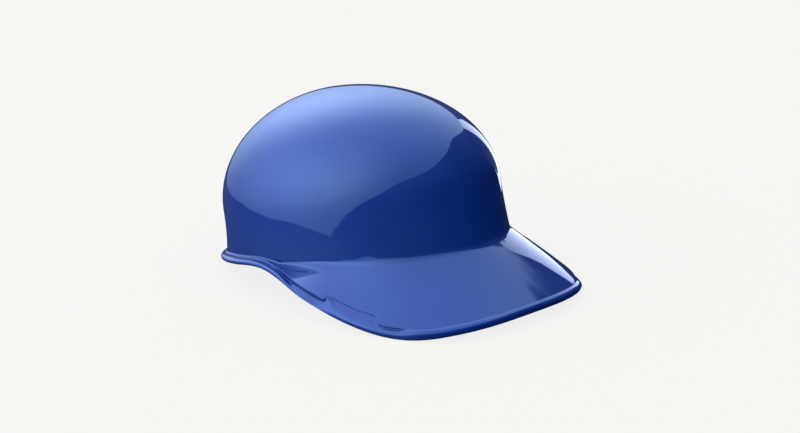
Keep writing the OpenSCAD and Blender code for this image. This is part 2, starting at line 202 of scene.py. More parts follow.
class CapLinerSizes(bpy.types.PropertyGroup):
    core: length("Core", "Thickness of the firm foam", 0.004)
    comfort: length("Comfort foam", "Thickness of the comfort foam at its edge", 0.002)
    crown: length("Crown", "Extra thickness of the comfort foam at a pad's middle", 0.0024)
    cover: length("Cover", "Thickness of the cover's fabric", 0.0009)
    backing: length("Backing", "Thickness of the backing sheet", 0.0008)
    patch: length("Patch", "Thickness of the hook and loop patches", 0.0012)
    channel_depth: length("Channel depth", "Depth of the sewn channels", 0.0016)
    channel_pull: length("Channel pull", "How far the channels draw the edges in", 0.0012)
    gap: length("Gap", "Clearance between pieces", 0.0003)
    band_height: length("Band height", "Height of the band pads' middles above the belt", 0.006)
    band_half_h: length("Band half height", "Half the height of the band pads", 0.027)
    front_half_l: length("Front pad half length", "Half the length of the front pad", 0.084)
    rear_half_l: length("Rear pad half length", "Half the length of the rear pad", 0.056)
    side_half_l: length("Side pad half length", "Half the length of the side pads", 0.048)
    side_turn: angle("Side turn", "How far back the side pads sit", 4)
    crown_half_l: length("Crown pad half length", "Half the length of the crown pad", 0.058)
    crown_half_w: length("Crown pad half width", "Half the width of the crown pad", 0.046)
    crown_forward: length("Crown pad forward", "How far the crown pad lies in front of the ears", 0.012)
    band_round: share("Band rounding", "Rounding of the band pads' corners", 0.45)
    crown_round: share("Crown rounding", "Rounding of the crown pad's corners", 0.7)
    stitch_pitch: length("Stitch pitch", "Distance from one stitch to the next", 0.0036)
    stitch_length: length("Stitch length", "Length of one stitch", 0.0026)
    stitch_thread: length("Thread", "Thickness of the thread", 0.0005)


class CapColours(bpy.types.PropertyGroup):
    shell: colour("Shell", "Colour of the moulded shell", (0.0, 0.0072, 0.078))
    shell_gloss: colour("Shell gloss", "Tint of the shell's gloss", (0.36, 0.55, 1.0))
    fabric: colour("Fabric", "Colour of the liner's fabric", (0.022, 0.026, 0.036))
    thread: colour("Thread", "Colour of the stitches", (0.10, 0.14, 0.24))
    firm_foam: colour("Firm foam", "Colour of the firm core", (0.09, 0.095, 0.10))
    comfort_foam: colour("Comfort foam", "Colour of the comfort foam", (0.42, 0.42, 0.39))
    backing: colour("Backing", "Colour of the backing sheet", (0.04, 0.045, 0.05))
    tape: colour("Tape", "Colour of the hook and loop tapes", (0.018, 0.018, 0.02))
    floor: colour("Floor", "Colour of the floor and the background", (0.921, 0.921, 0.921))
    floor_shade: colour("Floor shade", "Colour of the floor in the cap's shadow", (0.8, 0.65, 0.43))


class CapStage(bpy.types.PropertyGroup):
    distance: length("Camera distance", "From the camera to the cap's middle", 1.342)
    azimuth: angle("Azimuth", "Camera's turn round the cap", -44.8944)
    elevation: angle("Elevation", "Camera's height angle", 16.6311)
    roll: angle("Roll", "Camera's roll", 0.0933)
    across: length("Aim across", "How far to the right of the cap's middle the camera aims", 0.0066885)
    above: length("Aim above", "How far above the cap's middle the camera aims", -0.0225293)
    lens: FloatProperty(name="Lens", description="Focal length for a 36 mm wide sensor", default=80.446,
                        min=10, max=200)
    light: FloatProperty(name="Light", description="Brightness of the studio light", default=1.0)
    shadow: share("Shadow", "How much of the cap's shadow the floor keeps", 0.04)
    floor_glow: FloatProperty(name="Floor glow", description="Brightness of the floor to the camera", default=0.95)


# Shape of the moulding. The section functions work in the head frame, where z = 0 is the crease's plane

def smooth(v):
    v = np.clip(v, 0, 1)
    return v * v * (3 - 2 * v)


def after(v, change):
    """0 before a change and 1 after it, smooth between"""
    return smooth((v - change[0]) / change[1])


def until(v, change):
    return 1 - after(v, change)


def mix(a, b, s):
    return a + (b - a) * s


def sloped(v, border):
    """Height at v of a straight border"""
    at, height, slope = border
    return height + (v - at) * slope


def bezier(corners, q):
    while len(corners) > 1:
        corners = [mix(a, b, q) for a, b in zip(corners[:-1], corners[1:])]
    return corners[0]


def ease(v, soft):
    """A ramp that starts at 0, with its corner eased over soft each way"""
    v = np.asarray(v, float)
    return np.where(v <= -soft, 0, np.where(v >= soft, v, (v + soft) ** 2 / (4 * soft)))


def summed(steps):
    return np.r_[0, np.cumsum(steps)]


def step_lengths(points):
    return np.linalg.norm(np.diff(points, axis=0), axis=1)


def quarter_turn(v):
    return np.stack([-v[:, 1], v[:, 0]], -1)


def spread_at(s, sine):
    """Share by which the wall's foot spreads, and tucks in near the ears"""
    rear = mix(-s.ear_tuck, s.rear_spread, after(sine, REAR_TUCK_ENDS))
    return np.where(sine > 0, rear, mix(-s.ear_tuck, s.front_spread, after(-sine, FRONT_TUCK_ENDS)))


def bead_centre(s, t):
    """Centre of the bead at turn t, counter-clockwise from the wearer's left ear"""
    c, n = np.cos(t), np.sin(t)
    rear = n >= 0
    square = np.where(rear, 2.0, 2 / (1 - s.bill_square))
    shrink = (np.abs(c) ** square + np.abs(n) ** square) ** (1 / square)
    foot_w = s.dome_half_w * (1 + spread_at(s, 0)) + s.ear_bead_out
    foot_l = s.dome_rear * (1 + spread_at(s, 1)) + s.bead_out
    y = n / shrink * np.where(rear, foot_l, s.bill_reach)
    x = c / shrink * (foot_w + s.bill_flare * smooth(-y / s.flare_run))
    z = s.bead_lift - s.bill_drop * smooth((s.drop_start - y) / (s.drop_start - s.drop_end))
    return np.stack([x, y, z], -1)


def dome_r(s, cosine, sine, z, inset=0.0):
    """Radius of the dome in an upright plane, at height z, inset from the outside"""
    a = s.dome_half_w - inset
    b = mix(s.dome_rear, s.dome_front, smooth(0.5 - sine / s.ear_blend)) - inset
    rise = np.clip(ease(z - s.belt_h, s.belt_blend) / (s.dome_h - inset - s.belt_h), 0, 1)
    sink = ease(s.belt_h - z, s.belt_blend) / s.belt_h
    return (np.sqrt(1 - rise ** 2) * (1 + spread_at(s, sine) * sink ** 2)
            / np.sqrt((cosine / a) ** 2 + (sine / b) ** 2))


def dome_z(s, lat, inset=0.0):
    return s.belt_h + (s.dome_h - inset - s.belt_h) * np.where(lat < 0, lat, np.sin(lat))


def arc_of(s, t):
    """Length along the bead from the right ear forwards, -1 behind the ears"""
    turn = np.radians(np.linspace(180, 360, 3601))
    return np.where((t >= np.pi) & (t <= 2 * np.pi),
                    np.interp(t, turn, summed(step_lengths(bead_centre(s, turn)))), -1.0)


def ring_columns(s):
    """Turns with even spacing along the bead, closer together along the plate"""
    t = np.linspace(0, 2 * np.pi, 14401)
    u = arc_of(s, (t[1:] + t[:-1]) / 2)
    fine = after(u, FINE_STARTS) * until(u, FINE_ENDS)
    run = summed(step_lengths(bead_centre(s, t)) / mix(*COLUMN_WIDTHS, fine))
    n = int(round(run[-1]))
    return np.interp(np.arange(n) * run[-1] / n, run, t)


def edge_height(s, f, w):
    """Height of the outer face over the bill's middle plane, w behind the bead's centre"""
    u = f.arc
    edge = np.minimum(mix(s.step_width, s.bead_half_w + FLAT, after(f.ahead, FRONT_EDGE)), f.run * STEP_SHARE)
    step = smooth((edge - w) / np.minimum(STEP_FALL, edge * 0.3))
    near = (f.centre[:, 0] < 0) & (u >= 0)
    # On the wearer's right the step ends before the plate, and is only a line after it. Elsewhere the face slopes
    stop = 1 - smooth((u - sloped(w, STEP_STOP)) / STOP_FALL + 0.5)
    line = after(u, LINE_STARTS) * until(u, LINE_ENDS)
    slope_w = mix(*SLOPE_WIDTHS, after(u, SLOPE_NARROWS))
    slope = smooth((slope_w - w) / (slope_w - s.bead_half_w))
    far = np.where(u >= 0, after(u - f.arc_end, FAR_STEP_STARTS), 1)
    part = np.where(near, stop * step + line * until(w, LINE_FALLS) + (1 - stop - line) * slope,
                    far * step + (1 - far) * slope)
    plate = (smooth((sloped(u, PLATE_TOP) - w) / PLATE_FALL + 0.5) * after(u, PLATE_STARTS)
             * np.clip((sloped(w, PLATE_FRONT) - u) / s.plate_depth, 0, 1))
    drop = (f.rise - f.top) * part
    return f.rise - np.where(near, np.maximum(drop, s.plate_depth * plate), drop)


def moulding_frames(s, t):
    """The bead, the wall's foot and the ways down and out of the bill at each turn"""
    f = SimpleNamespace(centre=bead_centre(s, t), arc=arc_of(s, t), arc_end=arc_of(s, 2 * np.pi))
    r = np.hypot(f.centre[:, 0], f.centre[:, 1])
    f.plan = f.centre[:, :2] / r[:, None]
    f.ahead = -f.centre[:, 1]
    side, front = after(f.ahead, SIDE_STARTS), -f.plan[:, 1]
    f.step = (mix(mix(s.rear_step_depth, s.side_step_depth, side), s.step_depth, after(f.ahead, STEP_DEEPENS))
              * mix(1, s.step_front_share, after(f.ahead, STEP_FADES)))
    f.half_h = mix(s.rear_bead_half_h, s.bead_half_h, smooth(f.ahead / s.flare_run))
    f.rise = s.wall / 2 + f.step
    foot_z = (np.maximum(-s.crease_dip * np.maximum(front, 0) ** 2, f.centre[:, 2] + f.rise + s.foot_rise)
              + s.side_foot_rise * side * until(f.ahead, SIDE_FOOT_ENDS))
    f.foot = np.stack([dome_r(s, f.plan[:, 0], f.plan[:, 1], foot_z), foot_z], -1)
    f.bead = np.stack([r, f.centre[:, 2]], -1)
    d = f.bead - f.foot
    reach = np.hypot(d[:, 0], d[:, 1])
    f.run = np.sqrt(reach ** 2 - f.rise ** 2)
    f.way = (f.run[:, None] * d + f.rise[:, None] * quarter_turn(d)) / (reach ** 2)[:, None]
    f.out = quarter_turn(f.way)
    f.full = until(f.ahead, BEVEL_STARTS)
    f.bevel = after(f.ahead, BEVEL_STARTS) * until(f.ahead, BEVEL_ENDS)
    f.fillet = mix(s.side_crease_fillet, s.crease_fillet, smooth((front - 0.2) / 0.6))
    f.hollow = f.fillet + s.side_hollow * side * until(f.ahead, HOLLOW_ENDS)
    # The step is gone at the front, where the bill runs on to the bead
    top = mix(mix(s.rear_bead_top, s.side_bead_top, after(f.ahead, SIDE_TOP)), s.bead_top, after(f.ahead, BILL_TOP))
    flush = after(f.arc, FRONT_TOP) * until(f.arc - f.arc_end, FAR_STEP_STARTS)
    f.top = np.where(f.arc < 0, top, mix(top, f.rise, flush))
    return f


def moulding_rows(s, f):
    """Rows of the section from below the crown, round the bead, to below the lining's crown"""
    rows, inside = [], []
    half_w, half_h, run, bevel, full = s.bead_half_w, f.half_h, f.run, f.bevel, f.full

    def add(p, lining=0.0):
        rows.append(p)
        inside.append(lining)

    def curve(corners, n, lining=0.0, kept=slice(1, None)):
        for q in np.linspace(0, 1, n)[kept]:
            add(bezier(corners, q), lining)

    def wall_point(z, inset=0.0):
        z = z + 0 * run
        return np.stack([dome_r(s, *f.plan.T, z, inset), z], -1)

    def at(across, height):
        """The point across outwards from the bead's centre along the bill, and height over it"""
        return f.bead + (across + 0 * run)[:, None] * f.way + (height + 0 * run)[:, None] * f.out

    for lat in DOME_LATS:
        add(wall_point(dome_z(s, lat)))
    soft, hollow = np.minimum(f.fillet, run * FILLET_SHARE), np.minimum(f.hollow, run * HOLLOW_SHARE)
    wall_end = f.foot[:, 1] + soft
    for k in range(1, 11):
        add(wall_point(mix(s.belt_h, wall_end, k / 11)))
    end = f.foot + hollow[:, None] * f.way
    curve((wall_point(wall_end), f.foot, end), 13, kept=slice(None))
    band, neck = np.minimum(BAND, run - hollow), np.minimum(half_w, run * NECK_SHARE)
    curve((end, at(-band, f.rise)), 9, kept=slice(1, -1))
    for part in np.r_[1, 0.9, 0.8, 0.72, np.linspace(0.65, 0, 34)]:
        w = mix(neck, band, part)
        add(at(-w, edge_height(s, f, w)))
    # The bead's top slopes outwards from the step's foot, and its outer edge rolls under
    widest = -mix(*WIDEST_SHARES, bevel) * half_h
    crest = mix(s.bead_crest, s.rear_bead_crest, full)
    shoulder = mix(mix(*SHOULDERS, bevel), neck, full)
    curve((at(-neck, f.top), at(-shoulder, f.top + mix(crest * mix(0.3, 1, full), BEVEL_HEIGHT, bevel)),
           at(half_w, mix(f.top + crest, mix(f.top, widest, 0.5), bevel)), at(half_w, widest)), 25)
    curve((at(half_w, widest), at(half_w, -mix(*UNDER_SHARES, bevel) * half_h),
           at(half_w * KEEL_SHARE, -half_h), at(0, -half_h)), 11)
    closing = np.arccos(s.wall / 2 / half_h)
    for q in np.linspace(0, 1, 7)[1:]:
        add(at(half_w * np.sin(np.pi + closing * q), half_h * np.cos(np.pi + closing * q)), q)
    panel_end = np.minimum(s.step_width, run * 0.6)
    slope_end = mix(panel_end, np.minimum(half_w + FLAT, mix(half_w * np.sin(closing), panel_end, 0.4)), 0.9)
    slope = np.arctan2(f.step, panel_end - slope_end)
    shift = np.minimum(s.wall * np.tan(slope / 2), run * 0.1)
    flange_back = at(-slope_end - shift, -s.wall / 2)
    step_back = at(-panel_end - shift, f.rise - s.wall)
    foot_back = f.foot - (s.wall * (1 - f.out[:, 0]) / f.way[:, 0])[:, None] * f.way - s.wall * f.out
    under = foot_back + np.minimum(f.fillet, run * UNDER_SHARE)[:, None] * f.way
    wall_end = foot_back[:, 1] + soft
    curve((flange_back, step_back), 3, 1, slice(None))
    curve((step_back, under), 9, 1, slice(1, -1))
    curve((under, foot_back, wall_point(wall_end, s.wall)), 6, 1, slice(None))
    for k in range(6, 0, -1):
        add(wall_point(mix(s.belt_h, wall_end, k / 7), s.wall), 1)
    for lat in LINING_LATS:
        add(wall_point(dome_z(s, lat, s.wall), s.wall), 1)
    return np.stack(rows, 1), np.array(inside)


def moulding_points(s):
    """Points of the moulding by column and row, and how far each row belongs to the lining"""
    f = moulding_frames(s, ring_columns(s))
    rows, inside = moulding_rows(s, f)
    return np.stack([rows[..., 0] * f.plan[:, :1], rows[..., 0] * f.plan[:, 1:], rows[..., 1]], -1), inside


def seat_of(s):
    """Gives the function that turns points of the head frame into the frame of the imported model"""
    # The cap rests on its rear edge and its bill corners, with its middle over the origin
    ring, rear = bead_centre(s, np.linspace(0, 2 * np.pi, 96, endpoint=False)), bead_centre(s, np.pi / 2)
    bill = ring[ring[:, 1] < 0]
    tip = np.max(np.arctan2(rear[2] - bill[:, 2], rear[1] - bill[:, 1]))
    c, n = np.cos(tip), np.sin(tip)
    turn = np.array([[1, 0, 0], [0, c, -n], [0, n, c]])
    p = moulding_points(s)[0].reshape(-1, 3) @ turn
    shift = np.array([0, -(p[:, 1].max() + p[:, 1].min()) / 2, -p[:, 2].min()])
    return lambda q: q @ turn + shift


# Shape of the liner's pads

Pad = namedtuple("Pad", "name turn half_l half_w rounding")


def liner_pads(liner):
    band = liner.band_half_h, liner.band_round
    return [Pad("front", -np.pi / 2, liner.front_half_l, *band), Pad("rear", np.pi / 2, liner.rear_half_l, *band),
            Pad("left", liner.side_turn, liner.side_half_l, *band),
            Pad("right", np.pi - liner.side_turn, liner.side_half_l, *band),
            Pad("crown", None, liner.crown_half_l, liner.crown_half_w, liner.crown_round)]


def pad_depths(s, liner):
    """Depth of each layer's outer face below the outside of the shell, and of the cover's face on the head"""
    depths, reached = {}, s.wall
    for layer, thickness in (("hook", liner.patch), ("loop", liner.patch), ("backing", liner.backing),
                             ("core", liner.core), ("comfort", liner.comfort), ("cover", 0)):
        depths[layer] = reached + liner.gap
        reached = depths[layer] + thickness
    depths["cover"] += liner.cover
    return depths


def pad_point(s, liner, pad, x, y, depth):
    if pad.turn is None:
        back = x - liner.crown_forward
        n = np.maximum(np.hypot(back, y), 1e-9)
        belt = dome_r(s, -y / n, back / n, s.belt_h, depth)
        part = np.clip(n / belt, 0, 0.999)
        z = s.belt_h + (s.dome_h - depth - s.belt_h) * np.sqrt(1 - part ** 2)
        return np.stack([-y, back, z], -1)
    phi = pad.turn + x / dome_r(s, np.cos(pad.turn), np.sin(pad.turn), s.belt_h, s.wall)
    z = dome_z(s, (liner.band_height + y) / (s.dome_h - s.wall - s.belt_h), depth)
    r = dome_r(s, np.cos(phi), np.sin(phi), z, depth)
    return np.stack([r * np.cos(phi), r * np.sin(phi), z], -1)


def channel(u, width):
    return np.exp(-np.abs(np.abs(u) - 1 / 3) / width)


def pad_xy(liner, pad, u, v, inset=0.0):
    """Place on a pad at shares u and v of its half length and half width"""
    x = (pad.half_l - inset) * np.sqrt(1 - pad.rounding * v * v / 2) * u
    pull = liner.channel_pull * channel(u, PULL_WIDTH)
    return x, ((pad.half_w - inset) * np.sqrt(1 - pad.rounding * u * u / 2) - pull) * v


def cushion(liner, u, v):
    """Height of the crowned cushion over its edge, with the channels sewn down"""
    swell = liner.crown * (1 - u ** 4) * (1 - v ** 4)
    return swell - liner.channel_depth * (1 - v ** 4) * channel(u, CHANNEL_WIDTH)


def pad_lines(n_along, n_across):
    """Shares along and across a pad, closer together towards its edges and at the channels"""
    def closer(n):
        q = np.linspace(-1, 1, n)
        return q + EDGE_CLOSENESS * np.sin(np.pi * q) / np.pi

    seam = 1 / 3 + CHANNEL_LINES
    return np.unique(np.round(np.r_[closer(n_along), -1 / 3, 1 / 3, seam, -seam], 5)), closer(n_across)


class Faces:
    """Collects points and faces of one piece"""

    def __init__(self):
        self.points, self.faces, self.count = [], [], 0

    def add(self, p):
        """Adds points, and gives their numbers in the shape of their grid"""
        self.points.append(p.reshape(-1, 3))
        first, self.count = self.count, self.count + p.size // 3
        return np.arange(first, self.count).reshape(p.shape[:-1])

    def grid(self, ids, turned=False):
        a, b, c, d = ids[:-1, :-1], ids[1:, :-1], ids[1:, 1:], ids[:-1, 1:]
        self.faces.append(np.stack([q.ravel() for q in ((a, b, c, d) if turned else (a, d, c, b))], -1))

    def strip(self, upper, lower):
        self.faces.append(np.stack([upper, np.roll(upper, -1), np.roll(lower, -1), lower], -1))

    def piece(self, name):
        return new_piece(name, np.concatenate(self.points), np.concatenate(self.faces))


def rim(ids):
    return np.concatenate([ids[:-1, 0], ids[-1, :-1], ids[:0:-1, -1], ids[0, :0:-1]])


def new_piece(name, points, faces, smooth_faces=True):
    mesh = bpy.data.meshes.new(name)
    mesh.from_pydata([tuple(p) for p in points], [], [tuple(int(i) for i in q) for q in faces])
    mesh.validate()
    if smooth_faces:
        mesh.polygons.foreach_set("use_smooth", [True] * len(mesh.polygons))
    mesh.update()
    piece = bpy.data.objects.new(name, mesh)
    bpy.context.scene.collection.objects.link(piece)
    return piece


def outward(piece):
    """Turns the whole piece inside out where its volume is negative"""
    work = bmesh.new()
    work.from_mesh(piece.data)
    if work.calc_volume(signed=True) < 0:
        bmesh.ops.reverse_faces(work, faces=work.faces)
    work.to_mesh(piece.data)
    work.free()


def set_attribute(piece, name, kind, values):
    """Sets a FLOAT or a FLOAT_VECTOR at each point"""
    attribute = piece.data.attributes.new(name, kind, "POINT")
    attribute.data.foreach_set("value" if kind == "FLOAT" else "vector", np.asarray(values, np.float32).ravel())


# Shader groups and materials

class Nodes:
    """Adds nodes to a tree. An input takes a constant or another node's socket, and a new node gives its outputs"""

    def __init__(self, tree):
        self.tree = tree

    def feed(self, node, inputs):
        for key, value in inputs.items():
            if isinstance(value, bpy.types.NodeSocket):
                self.tree.links.new(value, node.inputs[key])
            else:
                node.inputs[key].default_value = value
        return node.outputs

    def add(self, kind, inputs=(), **settings):
        """Adds a node, of the shader kinds where the name doesn't say another"""
        node = self.tree.nodes.new(kind if "Node" in kind else "ShaderNode" + kind)
        for key, value in settings.items():
            setattr(node, key, value)
        return self.feed(node, dict(inputs))

    def maths(self, operation, *values):
        return self.add("Math", enumerate(values), operation=operation)[0]

    def product(self, total, *values):
        for value in values:
            total = self.maths("MULTIPLY", total, value)
        return total

    def total(self, total, *values):
        for value in values:
            total = self.maths("ADD", total, value)
        return total

    def dot(self, a, b):
        return self.add("VectorMath", {0: a, 1: b}, operation="DOT_PRODUCT")["Value"]

    def ramp(self, value, start, end, low=0.0, high=1.0, kind="LINEAR"):
        return self.add("MapRange", {"Value": value, "From Min": start, "From Max": end, "To Min": low,
                                               "To Max": high}, interpolation_type=kind)["Result"]

    def blend(self, factor, a, b):
        a, b = ((*c, 1) if isinstance(c, tuple) else c for c in (a, b))
        return self.add("Mix", {0: factor, 6: a, 7: b}, data_type="RGBA")[2]

    def bump(self, height, strength, distance, **below):
        return self.add("Bump", {"Height": height, "Strength": strength, "Distance": distance, **below})[0]

    def group(self, tree, **inputs):
        return self.add("Group", inputs, node_tree=tree)

    def place(self):
        return self.add("TexCoord")["Object"]


def shade(tone, factor, lift=0.0):
    return tuple(min(c * factor + lift, 1) for c in tone)


def shader_group(name, inputs, outputs):
    """Makes of a function that adds nodes and gives sockets one that gives the group, built once"""
    def decorate(build):
        def group():
            if name in bpy.data.node_groups:
                return bpy.data.node_groups[name]
            tree = bpy.data.node_groups.new(name, "ShaderNodeTree")
            tree.interface.new_socket("Vector", in_out="INPUT", socket_type="NodeSocketVector")
            for label, value in inputs.items():
                tree.interface.new_socket(label, in_out="INPUT", socket_type="NodeSocketFloat").default_value = value
            for label in outputs:
                tree.interface.new_socket(label, in_out="OUTPUT", socket_type="NodeSocketFloat")
            nodes = Nodes(tree)
            made = build(nodes, tree.nodes.new("NodeGroupInput").outputs)
            nodes.feed(tree.nodes.new("NodeGroupOutput"), dict(zip(outputs, made)))
            return tree
        return group
    return decorate


@shader_group("surface_grain", {"Scale": 400.0, "Detail": 3.0}, ("Height", "Mask"))
def grain_group(t, given):
    """Fine moulded or cast grain: a height and a mask of its high spots"""
    noise = t.add("TexNoise", {key: given[key] for key in ("Vector", "Scale", "Detail")})["Fac"]
    return noise, t.ramp(noise, 0.42, 0.62)


@shader_group("cloth_weave", {"Threads": 1500.0}, ("Height", "Gap", "Tone"))
def weave_group(t, given):
    """Plain weave on a piece's own cloth coordinates: thread height, a mask of the gaps, which the cloth darkens as
    painted shade, and a thread tone
    """
    wobble = t.add("TexNoise", {"Scale": 160.0, "Detail": 1.0, "Vector": given["Vector"]})["Color"]
    shift = t.add("VectorMath", {0: wobble, 1: (0.0002, 0.0002, 0.0)}, operation="MULTIPLY")[0]
    place = t.add("VectorMath", {0: given["Vector"], 1: shift}, operation="ADD")[0]
    scaled = t.add("VectorMath", {0: place, "Scale": given["Threads"]}, operation="SCALE")[0]
    split = t.add("SeparateXYZ", {0: scaled})
    across, along = (t.maths("ABSOLUTE", t.maths("SINE", t.product(split[i], math.pi))) for i in (0, 1))
    odd = t.maths("MODULO", t.total(*(t.maths("FLOOR", split[i]) for i in (0, 1))), 2.0)
    over = t.maths("ABSOLUTE", odd)
    height = t.total(t.product(over, across), t.product(t.maths("SUBTRACT", 1.0, over), along))
    gap = t.maths("LESS_THAN", t.product(across, along), 0.12)
    return height, gap, t.add("TexNoise", {"Scale": 420.0, "Detail": 2.0, "Vector": given["Vector"]})["Fac"]


@shader_group("foam_cells", {"Scale": 900.0}, ("Height", "Mouth"))
def foam_group(t, given):
    """Cells of a closed foam: height, and a mask of the cells' mouths, which the foam darkens as painted shade in the
    pits
    """
    cells = t.add("TexVoronoi", {"Vector": given["Vector"], "Scale": given["Scale"]})["Distance"]
    return cells, t.ramp(cells, 0.10, 0.34, 1.0, 0.0)


def principled(name, surface):
    """A material, built once: surface adds its nodes and gives the inputs of its Principled BSDF"""
    if name not in bpy.data.materials:
        material = bpy.data.materials.new(name)
        material.use_nodes = True
        nodes = Nodes(material.node_tree)
        nodes.feed(material.node_tree.nodes["Principled BSDF"], surface(nodes))
    return bpy.data.materials[name]


def gloss_shell_material(colours):
    """Painted gloss outside, satin with a fine grain inside"""
    def surface(t):
        place, shell = t.place(), tuple(colours.shell)
        inside = t.add("Attribute", attribute_name="inside")["Fac"]
        orange_peel = t.group(grain_group(), Vector=place, Scale=95.0, Detail=1.0)["Height"]
        grain = t.group(grain_group(), Vector=place, Scale=1500.0, Detail=4.0)["Height"]
        cloud = t.group(grain_group(), Vector=place, Scale=14.0, Detail=3.0)["Mask"]
        return {"Base Color": t.blend(inside, t.blend(cloud, shell, shade(shell, 0.86)), shade(shell, 0.6, 0.003)),
                "Roughness": t.total(t.product(cloud, 0.012), 0.035, t.product(inside, 0.36)),
                "Specular Tint": (*colours.shell_gloss, 1), "IOR": 1.5,
                "Normal": t.bump(t.product(inside, grain), 0.35, 0.0002, Normal=t.bump(orange_peel, 0.006, 0.0005))}

    return principled("gloss_shell", surface)


def cloth_material(name, tone, threads, sheen=0.25):
    def surface(t):
        cloth = t.add("Attribute", attribute_name="cloth")["Vector"]
        weave = t.group(weave_group(), Vector=cloth, Threads=threads)
        yarn = t.blend(weave["Tone"], shade(tone, 0.45), shade(tone, 1.5, 0.004))
        # The gaps between the threads are darkened to a quarter of the tone: painted shade between the threads. The
        # yarn's own tone varies at random.
        return {"Base Color": t.blend(weave["Gap"], yarn, shade(tone, 0.25)),
                "Roughness": t.total(t.product(weave["Tone"], 0.2), 0.62),
                "Sheen Weight": sheen, "Sheen Roughness": 0.4, "Sheen Tint": (0.6, 0.68, 0.85, 1),
                "Normal": t.bump(weave["Height"], 0.5, 0.0003)}

    return principled(name, surface)


def foam_material(name, tone, scale):
    def surface(t):
        place = t.place()
        cells = t.group(foam_group(), Vector=place, Scale=scale)
        cloud = t.group(grain_group(), Vector=place, Scale=40.0, Detail=3.0)["Mask"]
        # The cells' mouths are darkened to half the tone: painted shade in the pits. The cloud is the foam's own
        # random tone.
        return {"Base Color": t.blend(cells["Mouth"], t.blend(cloud, tone, shade(tone, 0.85)), shade(tone, 0.5)),
                "Roughness": t.total(t.product(cells["Mouth"], 0.12), 0.8),
                "Normal": t.bump(cells["Height"], 0.6, 0.0003)}

    return principled(name, surface)


def tape_material(name, tone, scale, depth):
    def surface(t):
        place = t.place()
        pile = t.group(foam_group(), Vector=place, Scale=scale)["Height"]
        fluff_and_painted_light = t.group(grain_group(), Vector=place, Scale=scale * 2.2, Detail=5.0)
        # The fluff's high spots are made lighter and its low spots darker: painted light and painted shade.
        return {"Base Color": t.blend(fluff_and_painted_light["Mask"], shade(tone, 0.6), shade(tone, 2.2, 0.004)),
                "Roughness": t.total(t.product(fluff_and_painted_light["Mask"], 0.2), 0.6), "Sheen Weight": 0.2,
                "Normal": t.bump(t.total(pile, fluff_and_painted_light["Height"]), 0.8, depth)}

    return principled(name, surface)


def thread_material(tone):
    def surface(t):
        ply_and_groove_shade = t.add("TexWave", {"Vector": t.place(), "Scale": 900.0, "Distortion": 1.5, "Detail": 1.0},
                    bands_direction="DIAGONAL")["Fac"]
        # The grooves between the plies are darkened: painted shade.
        return {"Base Color": t.blend(ply_and_groove_shade, shade(tone, 0.55), tone),
                "Roughness": t.total(t.product(ply_and_groove_shade, 0.15), 0.45), "Normal": t.bump(ply_and_groove_shade, 0.4, 0.0001)}

    return principled("stitch_thread", surface)


def dress(piece, material):
    piece.data.materials.clear()
    piece.data.materials.append(material)


def finish_piece(piece, material, slot, *nodes):
    dress(piece, material)
    if nodes:
        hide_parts(*nodes)
    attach(piece, "root")


# Operators, one for each group of pieces

class CAP_OT_shell(bpy.types.Operator):
    """Make the moulded shell with its bill, step, bare plate and rolled bead"""
    bl_idname = "skull_cap.shell"
    bl_label = "Moulded shell"

    def execute(self, context):
        s = context.scene.cap_moulding
        points, inside = moulding_points(s)
        n, m = points.shape[:2]
        poles = np.array([[0, 0, s.dome_h], [0, 0, s.dome_h - s.wall]])
        ids = np.arange(n * m).reshape(n, m)
        after_ids = np.roll(ids, -1, axis=0)
        quads = np.stack([ids[:, :-1], ids[:, 1:], after_ids[:, 1:], after_ids[:, :-1]], -1).reshape(-1, 4)
        crown = np.stack([np.full(n, n * m), ids[:, 0], after_ids[:, 0]], -1)
        lining = np.stack([np.full(n, n * m + 1), after_ids[:, -1], ids[:, -1]], -1)
        shell = new_piece("moulded_shell", seat_of(s)(np.r_[points.reshape(-1, 3), poles]), [*quads, *crown, *lining])
        outward(shell)
        set_attribute(shell, "inside", "FLOAT", np.r_[np.tile(inside, n), 0, 1])
        finish_piece(shell, gloss_shell_material(context.scene.cap_colours), "shell", "shell")
        return {"FINISHED"}


class PadLayer:
    """Makes the layers of the pads"""

    def __init__(self, context):
        self.s, self.liner = context.scene.cap_moulding, context.scene.cap_liner
        self.seat = seat_of(self.s)
        self.depths = pad_depths(self.s, self.liner)

    def point(self, pad, u, v, depth, inset=0.0, part=0.0):
        """Points of a pad at shares u and v, swollen by a part of the cushion"""
        x, y = pad_xy(self.liner, pad, u, v, inset)
        return self.seat(pad_point(self.s, self.liner, pad, x, y, depth + part * cushion(self.liner, u, v)))

    def cloth(self, pad, u, v, inset=0.0):
        x, y = pad_xy(self.liner, pad, u, v, inset)
        return np.stack([x, y, 0 * x], -1).reshape(-1, 3)

    def slab(self, name, pad, lines, depth, thickness, inset=0.0, part=0.0):
        """A closed layer between two faces"""
        u, v = np.meshgrid(*lines, indexing="ij")
        f = Faces()
        top = f.add(self.point(pad, u, v, depth, inset))
        bottom = f.add(self.point(pad, u, v, depth + thickness, inset, part))
        f.grid(top)
        f.grid(bottom, True)
        f.strip(rim(top), rim(bottom))
        piece = f.piece(name)
        outward(piece)
        set_attribute(piece, "cloth", "FLOAT_VECTOR", np.tile(self.cloth(pad, u, v, inset), (2, 1)))
        piece.data.set_sharp_from_angle(angle=math.radians(50))
        return piece


